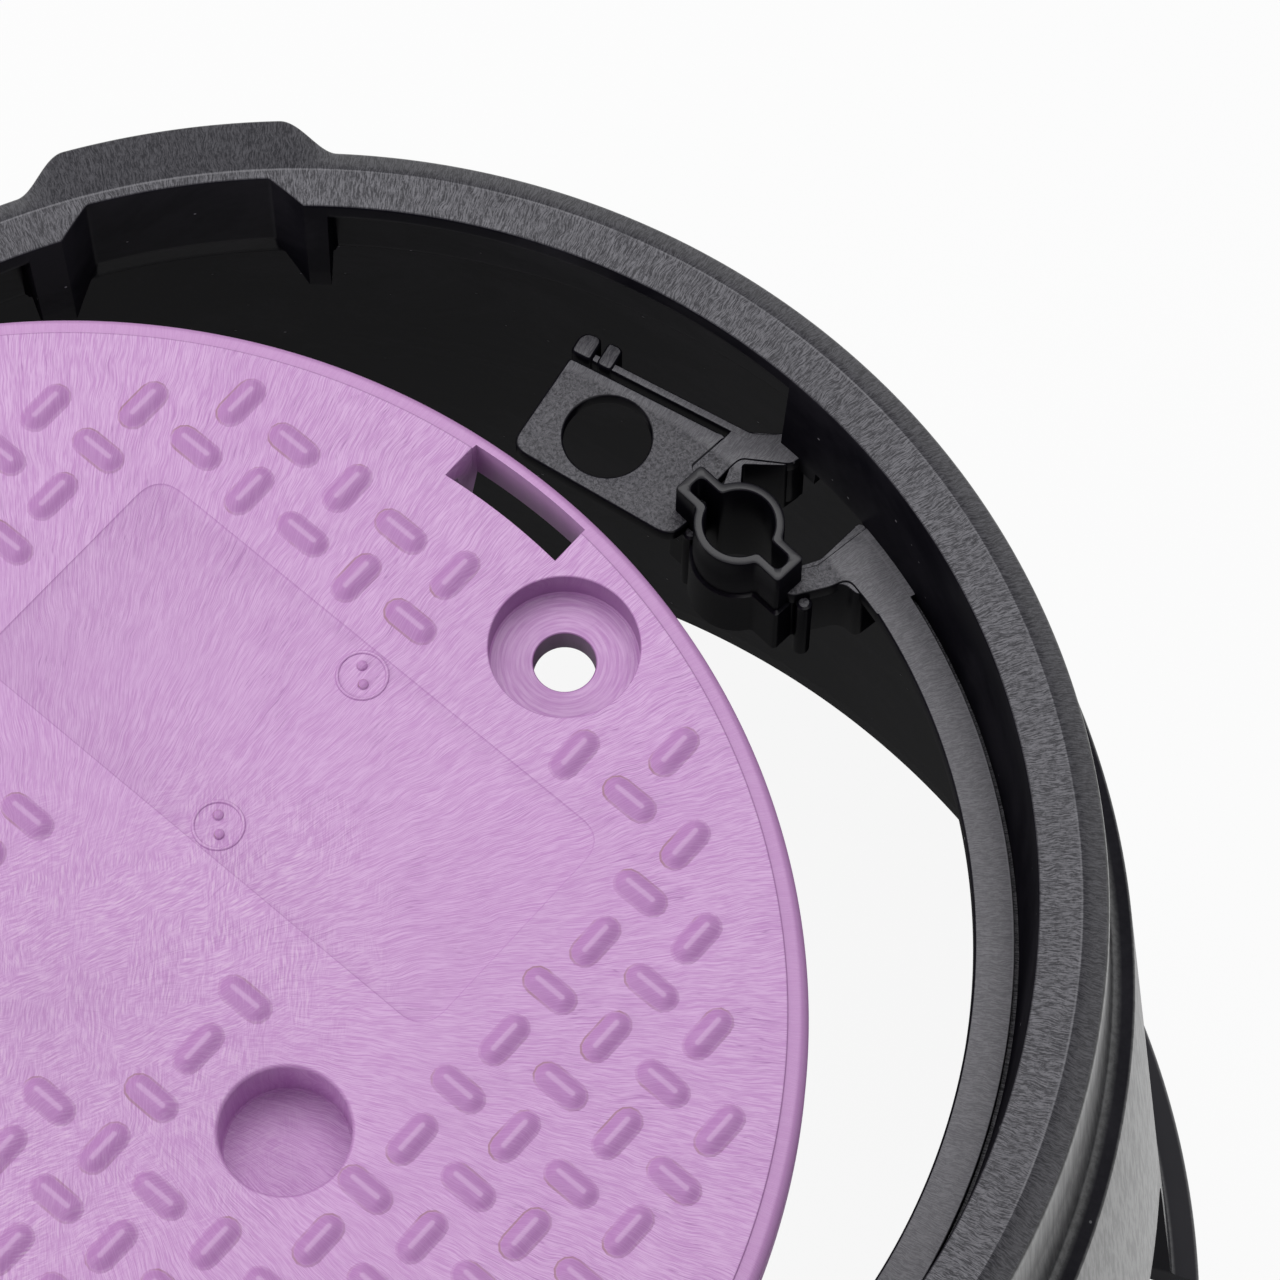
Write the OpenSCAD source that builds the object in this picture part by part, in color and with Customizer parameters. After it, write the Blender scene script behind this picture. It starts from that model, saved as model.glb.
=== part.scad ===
// Round valve box with a lift-off cover, for buried irrigation valves.
// The cover lies loose on the rim, pushed towards one side, so that the lock socket shows.
// Units: mm. The origin is the centre of the base, and +Z is up.
// +Y points at the pry lug on the rim.

/* [Box] */
// Height of the box from its base to the flat top of the rim
box_h = 240; // [225:1:300]
// Outer radius of the foot flange
foot_r = 175; // [172:0.5:185]
// Wall thickness of the flared body
wall_t = 4.6; // [3.5:0.1:6]
// Radius of the sharp edge of the shoulder step
shoulder_r = 145.9; // [144:0.1:150]
// Depth of the shoulder edge below the rim top
shoulder_drop = 39.4; // [36:0.2:50]
// Outward run of the body wall for each mm of depth
wall_flare = 0.119; // [0.08:0.001:0.125]

/* [Rim] */
// Outer radius of the rim
rim_r = 138.5; // [138:0.1:140]
// Radius of the fold line between the flat rim top and its sloped edge
rim_fold_r = 134; // [132.5:0.1:136]
// Inner radius of the rim at the top
rim_mouth_r = 126.5; // [126:0.1:128]
// Inner radius of the rim at the ledge
seat_r = 124.8; // [124.6:0.1:126]
// Depth of the cover ledge below the rim top
ledge_drop = 23; // [20:0.5:28]
// Inner radius of the cover ledge
ledge_in_r = 117; // [114:0.5:119]
// Thickness of the cover ledge
ledge_t = 4; // [3:0.2:6]

/* [Lock socket and bracket] */
// Distance of the lock socket and of the cover's bolt hole from their centres
lock_r = 105.5; // [104.5:0.1:106.5]
// Direction of the lock socket from the box centre, in degrees
lock_az = 34.3; // [33:0.1:36]
// Radius of the lock socket bore
socket_bore_r = 6.3; // [5.5:0.1:7]
// Wall thickness of the lock socket
socket_wall = 1.7; // [1.4:0.1:2.2]
// Length of the lock socket tube
socket_l = 28; // [22:0.5:32]
// Height of the socket's mouth above the ledge
socket_rise = 9; // [6:0.5:9]
// Radius of the through hole in the bracket plate
bracket_hole_r = 7.9; // [6:0.1:8.5]
// Thickness of the bracket plate
bracket_t = 3.4; // [2.4:0.2:4]

/* [Pipe slots] */
// Width of each pipe slot in the foot of the wall
slot_w = 88; // [60:1:100]
// Height of each pipe slot
slot_h = 96; // [70:1:120]
// Direction of the first pipe slot, in degrees
slot_az = -23; // [-28:1:-20]

/* [Cover] */
// Outer radius of the cover
cover_r = 124.5; // [123:0.1:124.5]
// Height of the cover from its skirt to its top
cover_h = 22.5; // [21:0.5:25]
// Thickness of the cover's top plate
cover_t = 5.6; // [4:0.2:6.5]
// Radius of the bolt hole
bolt_r = 5.3; // [4.5:0.1:5.5]
// Radius of the counterbore around the bolt hole
counterbore_r = 12.7; // [11:0.1:13.5]
// Depth of the counterbore
counterbore_d = 6.8; // [5:0.2:8]
// Radius of the blind pocket in the cover
pocket_r = 10.8; // [8:0.1:12]
// Depth of the blind pocket
pocket_d = 11; // [6:0.5:12]
// Length of a tread bar
bar_l = 9.6; // [8:0.2:10]
// Width of a tread bar
bar_w = 4.4; // [3:0.2:5]
// Height of a tread bar above the cover
bar_h = 1.5; // [0.6:0.1:2]
// Sideways slide of the loose cover from the box centre
cover_slide = 48; // [46:0.5:52]
// Direction of that slide, in degrees
cover_slide_az = 210; // [205:1:215]
// Turn of the cover about its own axis, in degrees
cover_turn = -49.7; // [-90:0.1:90]

/* [Hidden] */
$fn = 96;
body_col = [0.13, 0.13, 0.14];
cover_col = [0.8, 0.63, 0.83];
eps = 0.01;

// heights of the body's levels above the base
ledge_z = box_h - ledge_drop;
shoulder_z = box_h - shoulder_drop;
rim_edge_z = box_h - 2.6;
rim_skin = 4.3;
hollow_r = seat_r + rim_skin;
hollow_top_z = box_h - 5;
foot_t = 6;

// outer radius of the flared wall at height z
function wall_r(z) = shoulder_r + wall_flare * (shoulder_z - z);

// points of an arc, from angle a0 to a1 in n steps
function arc(cx, cy, r, a0, a1, n) =
    [for (i = [0:n]) [cx + r * cos(a0 + (a1 - a0) * i / n), cy + r * sin(a0 + (a1 - a0) * i / n)]];

// outline of a bar with round ends, centred on the origin
function stadium(l, w, n) = concat(
    arc((l - w) / 2, 0, w / 2, -90, 90, n),
    arc(-(l - w) / 2, 0, w / 2, 90, 270, n));

// outline of a rectangle from p to q with rounded corners
function round_rect(p, q, r, n) = concat(
    arc(p[0] + r, p[1] + r, r, 180, 270, n),
    arc(q[0] - r, p[1] + r, r, 270, 360, n),
    arc(q[0] - r, q[1] - r, r, 0, 90, n),
    arc(p[0] + r, q[1] - r, r, 90, 180, n));

// Half section of the body: foot flange, flared wall, shoulder, folded rim and its hollow.
module body_section() {
    polygon(concat(
        [[foot_r - 1, 0], [foot_r, 1], [foot_r, foot_t - 1], [foot_r - 1, foot_t]],
        [[wall_r(foot_t) + 1.5, foot_t + 1], [wall_r(foot_t + 3), foot_t + 3]],
        [[wall_r(shoulder_z - 0.8), shoulder_z - 0.8], [shoulder_r - 0.6, shoulder_z]],
        arc(shoulder_r - 1.9, shoulder_z + 4.6, 2.6, 250, 190, 5),
        [[rim_r + 0.5, rim_edge_z - 1], [rim_r, rim_edge_z], [rim_fold_r, box_h]],
        [[rim_mouth_r + 0.4, box_h], [rim_mouth_r, box_h - 0.4], [seat_r, ledge_z + 0.6]],
        [[seat_r, ledge_z - ledge_t - 0.4], [seat_r + 0.5, ledge_z - ledge_t - 1]],
        [[hollow_r - 0.6, ledge_z - ledge_t - 1], [hollow_r, ledge_z - ledge_t]],
        [[hollow_r + 0.6, hollow_top_z], [rim_r - 4.2, hollow_top_z]],
        [[shoulder_r - 8.4, shoulder_z + 2], [wall_r(shoulder_z - 5) - wall_t, shoulder_z - 5]],
        [[wall_r(0) - wall_t, 0]]));
}

// Plan outline of the pry lug, which swells out of the rim with soft shoulders.
lug_r = rim_r + 7.5;
function lug_swell(x, x0, x1) = let (s = min(1, max(0, (x - x0) / (x1 - x0)))) s * s * (3 - 2 * s);
function lug_out(x) = rim_r - 1 + (lug_r - rim_r + 1) * min(lug_swell(x, -31, -20.5), lug_swell(x, 28, 17.5));
module lug_plan() {
    polygon(concat(
        [for (x = [-31:1.25:28]) [x, sqrt(pow(lug_out(x), 2) - x * x)]],
        [[28, 128], [-31, 128]]));
}

// Pry lug on the rim, with the same sloped edge as the rim.
module pry_lug() {
    lug_slope = 4.6 / (lug_r - rim_fold_r);
    intersection() {
        translate([0, 0, shoulder_z]) linear_extrude(shoulder_drop + 1) lug_plan();
        rotate_extrude() polygon([
            [hollow_r - 0.5, shoulder_z + 3], [hollow_r - 0.5, box_h], [rim_fold_r, box_h],
            [lug_r + 2, box_h - 4.6 - 2 * lug_slope], [lug_r + 2, shoulder_z + 12],
            [rim_r, shoulder_z + 3]]);
    }
}

// Solid backing behind the pry notch. Its underside slopes out from the ledge's level to the shoulder.
back_from = 79;
back_to = 103.5;
module notch_backing() {
    rotate([0, 0, back_from]) rotate_extrude(angle = back_to - back_from) polygon([
        [seat_r + 1, ledge_z], [seat_r + 1, box_h - 2], [rim_fold_r + 1, box_h - 2],
        [rim_r + 1, shoulder_z + 6], [rim_r - 1, shoulder_z + 1], [rim_fold_r + 1.5, shoulder_z + 2],
        [rim_fold_r - 2.3, ledge_z]]);
}

// Pry notch: a trapezoid pocket in the rim that lets a bar in under the cover's edge.
module pry_notch() {
    intersection() {
        translate([0, 0, shoulder_z - 3]) cylinder(h = shoulder_drop + 5, r = rim_fold_r - 2, $fn = 180);
        translate([0, 0, shoulder_z - 4]) linear_extrude(shoulder_drop + 6)
            polygon([[-27, 119], [-17.5, 130.5], [-17.5, 134], [14, 134], [14, 131.3], [23.5, 119]]);
    }
}

// The seat wall stops on both sides of the pry notch, where the inside of the rim is open.
skin_end = 38.5;
ledge_from = 122;
ledge_to = 388.4;
module ring_cut(from, to, low, high) {
    rotate([0, 0, from]) rotate_extrude(angle = to - from)
        polygon([[seat_r - 2, low], [hollow_r + 0.8, low], [hollow_r + 0.8, high], [seat_r - 2, high]]);
}
module open_rim() {
    ring_cut(skin_end, back_from + 0.4, ledge_z - ledge_t - 3, hollow_top_z - 0.4);
    ring_cut(back_to - 0.4, ledge_from - 0.4, ledge_z - ledge_t - 3, hollow_top_z - 0.4);
    ring_cut(ledge_to - 360 - 0.4, 34.6, ledge_z - ledge_t - 3, ledge_z - 0.8);
}

// Ledge that carries the cover. A narrow groove parts it from the seat wall.
groove_w = 0.8;
groove_d = 2.4;
module cover_ledge() {
    rotate([0, 0, ledge_from]) rotate_extrude(angle = ledge_to - ledge_from) polygon([
        [ledge_in_r, ledge_z - ledge_t + 0.6], [ledge_in_r, ledge_z - 0.5], [ledge_in_r + 0.5, ledge_z],
        [seat_r - groove_w - 0.3, ledge_z], [seat_r - groove_w, ledge_z - 0.3],
        [seat_r - groove_w, ledge_z - groove_d], [seat_r + 0.8, ledge_z - groove_d],
        [seat_r + 2.5, ledge_z - ledge_t], [ledge_in_r + 0.6, ledge_z - ledge_t]]);
}

// Ribs in the hollow of the rim, which tie its two walls together.
rib_count = 24;
rib_t = 3;
module rim_ribs() {
    for (a = [for (i = [0:rib_count - 1]) (i + 0.5) * 360 / rib_count])
        if (a < skin_end || a > ledge_from) rotate([0, 0, a])
            translate([0, rib_t / 2, 0]) rotate([90, 0, 0]) linear_extrude(rib_t) polygon([
                [hollow_r - 1, ledge_z - ledge_t], [hollow_r - 1, hollow_top_z + 1],
                [rim_r - 3.5, hollow_top_z + 1], [shoulder_r - 7.4, shoulder_z + 2],
                [shoulder_r - 9, shoulder_z + 3]]);
}

// Plan of the lock socket: a round bore with a slot across it, wider by g all round.
slot_half = 11;
slot_inner_w = 3.2;
module keyhole_plan(g) {
    circle(r = socket_bore_r + g, $fn = 72);
    rotate([0, 0, -54]) square([2 * (slot_half + g), slot_inner_w + 2 * g], center = true);
}

socket_x = lock_r * cos(lock_az);
socket_y = lock_r * sin(lock_az);
socket_top_z = ledge_z + socket_rise;
socket_low_z = socket_top_z - socket_l;
step_z = ledge_z - 4;

// Lock socket tube, a little wider below its step.
module socket_tube() {
    translate([socket_x, socket_y, 0]) {
        translate([0, 0, socket_low_z]) linear_extrude(socket_l) keyhole_plan(socket_wall);
        translate([0, 0, socket_low_z]) linear_extrude(step_z - socket_low_z) keyhole_plan(socket_wall + 0.6);
    }
}

// Bracket plate beside the socket, in its own frame: x runs along its long side.
bracket_x = 67.5;
bracket_y = 83.5;
bracket_turn = -38;
module on_bracket() {
    translate([bracket_x, bracket_y, 0]) rotate([0, 0, bracket_turn]) children();
}
module bracket_plate() {
    on_bracket() translate([0, 0, ledge_z - bracket_t]) linear_extrude(bracket_t) polygon(concat(
        arc(-11, -7.2, 3.2, 180, 250, 5),
        arc(17.6, -9.2, 2.6, 265, 350, 5),
        [[20.4, -6.6], [22.5, -2], [21.9, 5.5], [18.6, 5.5], [18.6, 10.4], [-13.2, 10.4], [-14, 9.6]]));
}

// Snap arm behind the plate: a strip with two posts at its free end and a web at its root.
arm_y0 = 11.5;
arm_y1 = 13.1;
module bracket_strip() {
    on_bracket() {
        translate([0, 0, ledge_z - bracket_t]) linear_extrude(bracket_t)
            polygon([[-13.8, arm_y0], [18.5, arm_y0], [18.5, 5], [21.9, 5.4], [22.7, 7.8], [31, 11.2],
                [32.6, 14.4], [27.5, 16.3], [24.5, 14.2], [21.8, arm_y1], [-13.8, arm_y1]]);
        translate([0, 0, socket_low_z + 2]) linear_extrude(ledge_z - socket_low_z - 2.5)
            polygon([[19.6, 8.6], [22.6, 7.9], [30.9, 11.3], [32.5, 14.4], [27.5, 16.2], [20.6, 12.9]]);
        translate([0, 0, ledge_z - 9]) linear_extrude(9.4) {
            polygon([[-13.9, arm_y0], [-9.8, arm_y0], [-9.8, 15.4], [-10.6, 16.2], [-12.8, 16],
                [-13.9, 14.6]]);
            polygon([[-8.7, arm_y0], [-5.6, arm_y0], [-5.6, 15.6], [-6.4, 16.2], [-8.7, 16.2]]);
        }
    }
}

// Housing walls that hang below the ledge and tie the socket to the rim on both sides.
module housing_walls() {
    translate([0, 0, socket_low_z]) linear_extrude(ledge_z - socket_low_z - 0.3) {
        polygon([[84.6, 68], [88.6, 75.6], [91, 79.4], [99.2, 77.8], [101.3, 75.2], [97.8, 73.2],
            [90.4, 74.6], [88.4, 66]]);
        polygon([[93, 51], [94.4, 48.6], [104.3, 49.6], [106.5, 46.5], [114.5, 51.2], [111.8, 59],
            [108.8, 60.4], [101, 54.6], [95, 53.6]]);
    }
    translate([0, 0, ledge_z - ledge_t + 0.3]) linear_extrude(ledge_t - 0.36)
        polygon([[91.5, 50.5], [94.9, 48.2], [101.8, 48.9], [104.6, 49.7], [105.9, 49.2], [107.5, 45.6],
            [109, 42.4], [120.5, 47], [113.9, 61.4], [110, 59.3], [100.2, 53.4], [95, 53]]);
}

// Locating pins beside the socket.
pin_r = 1.4;
pin_l = 19;
module locating_pins() {
    for (p = [[79.4, 63.9], [97, 47.6]])
        translate([p[0], p[1], ledge_z - bracket_t - pin_l]) cylinder(h = pin_l + 1, r = pin_r, $fn = 32);
}

// Pipe slot through the foot of the wall, round at its top.
module pipe_slot() {
    translate([140, -slot_w / 2, -1]) cube([50, slot_w, slot_h - slot_w / 2 + 1]);
    translate([140, 0, slot_h - slot_w / 2]) rotate([0, 90, 0]) cylinder(h = 50, r = slot_w / 2, $fn = 128);
}

module box_body() {
    color(body_col) difference() {
        union() {
            difference() {
                rotate_extrude($fn = 180) body_section();
                open_rim();
            }
            pry_lug();
            notch_backing();
            cover_ledge();
            rim_ribs();
            socket_tube();
            bracket_plate();
            bracket_strip();
            housing_walls();
            locating_pins();
        }
        pry_notch();
        for (a = [slot_az, slot_az + 180])
            rotate([0, 0, a]) pipe_slot();
        translate([socket_x, socket_y, socket_low_z - 1]) linear_extrude(socket_l + 2) keyhole_plan(0);
        on_bracket() translate([0, 0, ledge_z - 14]) cylinder(h = 20, r = bracket_hole_r, $fn = 72);
    }
}

// Half section of the cover: top plate, sloped edge, lip and tapered skirt.
skirt_t = 4;
skirt_r = 119.5;
lip_z = cover_h - 9;
plate_low_z = cover_h - cover_t;
module cover_section() {
    polygon([
        [0, plate_low_z], [skirt_r - skirt_t + 2, plate_low_z], [skirt_r - skirt_t + 1.6, plate_low_z - 1.5],
        [skirt_r - skirt_t, 0.6], [skirt_r - skirt_t + 0.6, 0], [skirt_r - 0.6, 0], [skirt_r, 0.6],
        [cover_r - 2.2, lip_z - 1], [cover_r - 0.6, lip_z], [cover_r, lip_z + 0.6],
        [cover_r, cover_h - 2.6], [cover_r - 1, cover_h - 0.9], [cover_r - 3.5, cover_h - 0.3],
        [cover_r - 3.5, cover_h], [0, cover_h]]);
}

// places on the cover, with +Y towards its pry slot
hole_x = 22.3;
hole_y = sqrt(lock_r * lock_r - hole_x * hole_x);
pocket_x = 44.1;
pocket_y = 10.1;
pry_x0 = -13.4;
pry_x1 = 10.8;
pry_in_r = 114.4;
pry_r = 122;
tread_dx = 12.1;
tread_dy = 11.2;
tread_edge_r = 113.5;
panel_p = [-50, 37];
panel_q = [50, 82];
rib_low_z = cover_h - 12;

// is there a tread bar at column k and row j?
function in_panel(x, y) = abs(x) < 55 && y > 31 && y < 87;
function in_hole(x, y) = norm([x - hole_x, y - hole_y]) < counterbore_r + 5.5;
function in_pocket(x, y) = norm([x - pocket_x, y - pocket_y]) < pocket_r + 4.5;
function in_centre(x, y) = norm([x + 1, y - 8]) < 20;
function in_pry(x, y) = abs(x) < 22 && y > 106;
function bar_at(x, y) = norm([x, y]) < tread_edge_r && !in_panel(x, y) && !in_hole(x, y)
    && !in_pocket(x, y) && !in_centre(x, y) && !in_pry(x, y);

// Tread: short bars in rows, each turned a quarter from its neighbours.
module tread() {
    for (k = [-9:9], j = [-10:10])
        if (bar_at(k * tread_dx, j * tread_dy))
            translate([k * tread_dx, j * tread_dy, cover_h - 0.4])
                rotate([0, 0, (k + j) % 2 == 0 ? 0 : 90])
                    linear_extrude(bar_h + 0.4) polygon(stadium(bar_l, bar_w, 5));
}

// Cups under the top plate for the counterbore and the blind pocket.
module cover_cups() {
    translate([hole_x, hole_y, cover_h - counterbore_d - 6.2])
        cylinder(h = counterbore_d + 4, r = counterbore_r + 3.4);
    translate([pocket_x, pocket_y, cover_h - pocket_d - 3]) cylinder(h = pocket_d + 1, r = pocket_r + 3);
}

// Stiffening ribs on the underside: two rings and twelve spokes.
module cover_ribs() {
    for (r = [45, 84])
        rotate_extrude() translate([r, rib_low_z]) square([3, plate_low_z - rib_low_z + 1]);
    for (i = [0:11])
        rotate([0, 0, i * 30 + 10]) translate([44, -1.5, rib_low_z])
            cube([skirt_r - skirt_t - 43, 3, plate_low_z - rib_low_z + 1]);
}

// Round moulding mark: a raised ring with two pips.
module mould_mark() {
    rotate_extrude($fn = 48) translate([3.9, cover_h - 0.2]) square([0.6, 0.6]);
    for (p = [[-1.2, 1.3], [1.2, -1.1]])
        translate([p[0], p[1], cover_h - 0.2]) cylinder(h = 0.8, r = 0.95, $fn = 24);
}

module cover_pry_slot() {
    intersection() {
        translate([pry_x0, 100, -1]) cube([pry_x1 - pry_x0, 30, cover_h + 2]);
        difference() {
            translate([0, 0, -1]) cylinder(h = cover_h + 2, r = pry_r, $fn = 180);
            translate([0, 0, -2]) cylinder(h = cover_h + 4, r = pry_in_r, $fn = 180);
        }
    }
}

module cover() {
    color(cover_col)
        translate([cover_slide * cos(cover_slide_az), cover_slide * sin(cover_slide_az), box_h])
            rotate([0, 0, cover_turn]) difference() {
                union() {
                    difference() {
                        rotate_extrude($fn = 180) cover_section();
                        translate([0, 0, cover_h - 0.3]) linear_extrude(1)
                            polygon(round_rect(panel_p, panel_q, 5.5, 6));
                    }
                    cover_cups();
                    cover_ribs();
                    tread();
                    for (y = [77.2, 41.9])
                        translate([0.4, y, -0.3]) mould_mark();
                }
                cover_pry_slot();
                translate([hole_x, hole_y, cover_h - counterbore_d])
                    cylinder(h = counterbore_d + 3, r = counterbore_r);
                translate([hole_x, hole_y, -1]) cylinder(h = cover_h + 2, r = bolt_r, $fn = 64);
                translate([pocket_x, pocket_y, cover_h - pocket_d]) cylinder(h = pocket_d + 3, r = pocket_r);
            }
}

box_body();
cover();
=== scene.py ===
import math

import bpy
import numpy as np
from mathutils import Matrix, Vector


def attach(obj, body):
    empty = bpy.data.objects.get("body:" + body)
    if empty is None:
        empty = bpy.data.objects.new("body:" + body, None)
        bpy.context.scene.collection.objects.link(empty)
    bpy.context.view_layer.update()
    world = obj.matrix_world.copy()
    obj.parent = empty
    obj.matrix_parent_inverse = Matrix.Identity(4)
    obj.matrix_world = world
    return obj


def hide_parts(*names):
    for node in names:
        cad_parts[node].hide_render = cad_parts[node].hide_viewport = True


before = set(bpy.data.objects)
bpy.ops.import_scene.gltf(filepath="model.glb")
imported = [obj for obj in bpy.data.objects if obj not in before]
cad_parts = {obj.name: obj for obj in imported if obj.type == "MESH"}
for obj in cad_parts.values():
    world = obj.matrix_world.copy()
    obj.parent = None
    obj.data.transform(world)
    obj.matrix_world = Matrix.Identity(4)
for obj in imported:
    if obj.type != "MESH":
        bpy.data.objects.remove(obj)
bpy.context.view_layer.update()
mm = 0.001


# small shape helpers: a shell is a dictionary with points, quads and flat end caps
def gridQuads(rows, columns, wrapRows, wrapColumns):
    # quads between neighbouring points of a grid, which may close on itself either way
    a, b = np.meshgrid(
        np.arange(rows if wrapRows else rows - 1),
        np.arange(columns if wrapColumns else columns - 1),
        indexing="ij",
    )
    c, d = (a + 1) % rows, (b + 1) % columns
    corners = [a * columns + b, c * columns + b, c * columns + d, a * columns + d]
    return np.stack(corners, -1).reshape(-1, 4)


def shellVolume(points, quads, caps):
    # signed volume: the sum of the tetrahedra from the origin to each face
    p = points[quads]
    total = np.einsum("ij,ij->i", p[:, 0], np.cross(p[:, 1], p[:, 2])).sum()
    total += np.einsum("ij,ij->i", p[:, 0], np.cross(p[:, 2], p[:, 3])).sum()
    for cap in caps:
        q = points[cap]
        total += (np.cross(q[1:-1], q[2:]) @ q[0]).sum()
    return total / 6


def closedShell(points, quads, caps=()):
    # turns each cap to run against its neighbours' edges, then the whole shell the right way out
    caps = [np.asarray(cap) for cap in caps]
    runs = quads * len(points) + np.roll(quads, -1, axis=1)
    caps = [cap[::-1] if np.isin(cap[0] * len(points) + cap[1], runs) else cap for cap in caps]
    if shellVolume(points, quads, caps) < 0:
        quads = quads[:, ::-1]
        caps = [cap[::-1] for cap in caps]
    return {"points": points, "quads": quads, "caps": caps}


def stackRings(rings):
    # rings of equally many points, joined by quads in turn, with a flat end on the first and the last
    n, m = len(rings), len(rings[0])
    ends = [np.arange(m), np.arange((n - 1) * m, n * m)]
    return closedShell(np.vstack(rings), gridQuads(n, m, False, True), ends)


def joinShells(shells):
    # several shells as one, with their point numbers counted on
    points, quads, caps, start = [], [], [], 0
    for shell in shells:
        points.append(shell["points"])
        quads.append(shell["quads"] + start)
        caps += [cap + start for cap in shell["caps"]]
        start += len(shell["points"])
    return {"points": np.vstack(points), "quads": np.vstack(quads), "caps": caps}


def moveShell(shell, turn=0.0, shift=(0, 0, 0)):
    # turns a shell about +Z by an angle in degrees, then shifts it
    c, s = math.cos(math.radians(turn)), math.sin(math.radians(turn))
    points = shell["points"] @ np.array([[c, s, 0], [-s, c, 0], [0, 0, 1]]) + np.array(shift, float)
    return {"points": points, "quads": shell["quads"], "caps": shell["caps"]}


def makePiece(name, shell):
    # a mesh object from a shell in millimetres
    mesh = bpy.data.meshes.new(name)
    faces = shell["quads"].tolist() + [cap.tolist() for cap in shell["caps"]]
    mesh.from_pydata((shell["points"] * mm).tolist(), [], faces)
    mesh.update()
    piece = bpy.data.objects.new(name, mesh)
    bpy.context.scene.collection.objects.link(piece)
    return piece


def bakeModifiers(piece):
    # the mesh that the modifiers give takes the place of the plain one
    bpy.context.view_layer.update()
    graph = bpy.context.evaluated_depsgraph_get()
    mesh = bpy.data.meshes.new_from_object(piece.evaluated_get(graph))
    piece.modifiers.clear()
    piece.data = mesh


def carve(piece, tools, operation="DIFFERENCE"):
    # cuts each tool from the piece, or joins it on, and then deletes the tools
    for tool in tools:
        cut = piece.modifiers.new("carve", "BOOLEAN")
        cut.operation = operation
        cut.solver = "EXACT"
        cut.object = tool
    bakeModifiers(piece)
    for tool in tools:
        bpy.data.objects.remove(tool)


def smoothPiece(piece, angle):
    # smooth shading, with sharp edges where two faces meet at more than the angle
    piece.data.shade_smooth()
    piece.data.set_sharp_from_angle(angle=math.radians(angle))


def softCorners(outline, cut, steps=4):
    # each corner becomes a parabola between the two points that lie "cut" away from it on its sides
    p = np.asarray(outline, float)
    cut = np.broadcast_to(np.asarray(cut, float), len(p))

    def toward(q):
        side = q - p
        length = np.linalg.norm(side, axis=1)
        return p + side / length[:, None] * np.minimum(cut, 0.47 * length)[:, None]

    a, c = toward(np.roll(p, 1, 0)), toward(np.roll(p, -1, 0))
    s = np.linspace(0, 1, steps + 1)[None, :, None]
    return ((1 - s) ** 2 * a[:, None] + 2 * s * (1 - s) * p[:, None] + s**2 * c[:, None]).reshape(-1, 2)


def insetPlan(outline, inset):
    # moves a closed counter-clockwise outline inwards along the mean normal of its two sides
    before = outline - np.roll(outline, 1, 0)
    after = np.roll(outline, -1, 0) - outline
    before /= np.linalg.norm(before, axis=1)[:, None] + 1e-12
    after /= np.linalg.norm(after, axis=1)[:, None] + 1e-12
    n1 = np.stack([-before[:, 1], before[:, 0]], 1)
    n2 = np.stack([-after[:, 1], after[:, 0]], 1)
    n = (n1 + n2) / np.maximum(1 + (n1 * n2).sum(1), 0.4)[:, None]
    return outline + inset * n


def planAt(outline, z):
    # a flat outline put at a height
    return np.column_stack([outline, np.full(len(outline), z)])


def edgeLevels(low, high, soft):
    # (inset, height) pairs of a wall with a quarter round at its top and bottom edges
    t = np.radians(np.linspace(0, 90, 4))
    down = [(soft * (1 - math.cos(a)), low + soft * (1 - math.sin(a))) for a in t[::-1]]
    up = [(soft * (1 - math.cos(a)), high - soft * (1 - math.sin(a))) for a in t]
    return down + up


def raisedPlan(outline, low, high, soft):
    # an outline carried upwards, with rounded edges and flat ends
    outline = np.asarray(outline, float)
    x, y = outline[:, 0], outline[:, 1]
    if (x * np.roll(y, -1) - np.roll(x, -1) * y).sum() < 0:
        outline = outline[::-1]
    return stackRings([planAt(insetPlan(outline, inset), z) for inset, z in edgeLevels(low, high, soft)])


def turnedShell(profile, azimuths, wrap=True):
    # a closed (radius, height) profile carried round the Z axis through the azimuths, in degrees
    a = np.radians(azimuths)[:, None]
    r, z = profile[:, 0][None, :], profile[:, 1][None, :]
    points = np.stack([r * np.cos(a), r * np.sin(a), z + 0 * a], -1)
    if not wrap:
        return stackRings(points)
    return closedShell(points.reshape(-1, 3), gridQuads(len(azimuths), len(profile), True, True))


def solidTurned(profile, sides):
    # a (radius, height) profile whose two ends lie on the axis, closed there by fans of thin quads
    a = np.radians(np.arange(sides) * 360.0 / sides)[:, None]
    r, z = profile[1:-1, 0][None, :], profile[1:-1, 1][None, :]
    points = np.stack([r * np.cos(a), r * np.sin(a), z + 0 * a], -1).reshape(-1, 3)
    columns = len(profile) - 2
    quads = gridQuads(sides, columns, True, False)
    first = np.arange(sides) * columns
    return closedShell(points, quads, [first, first[::-1] + columns - 1])


def smoothStep(x, low, high):
    # 0 below low, 1 above high, and 3 s^2 - 2 s^3 between them
    s = np.clip((x - low) / (high - low), 0, 1)
    return s * s * (3 - 2 * s)


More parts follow.
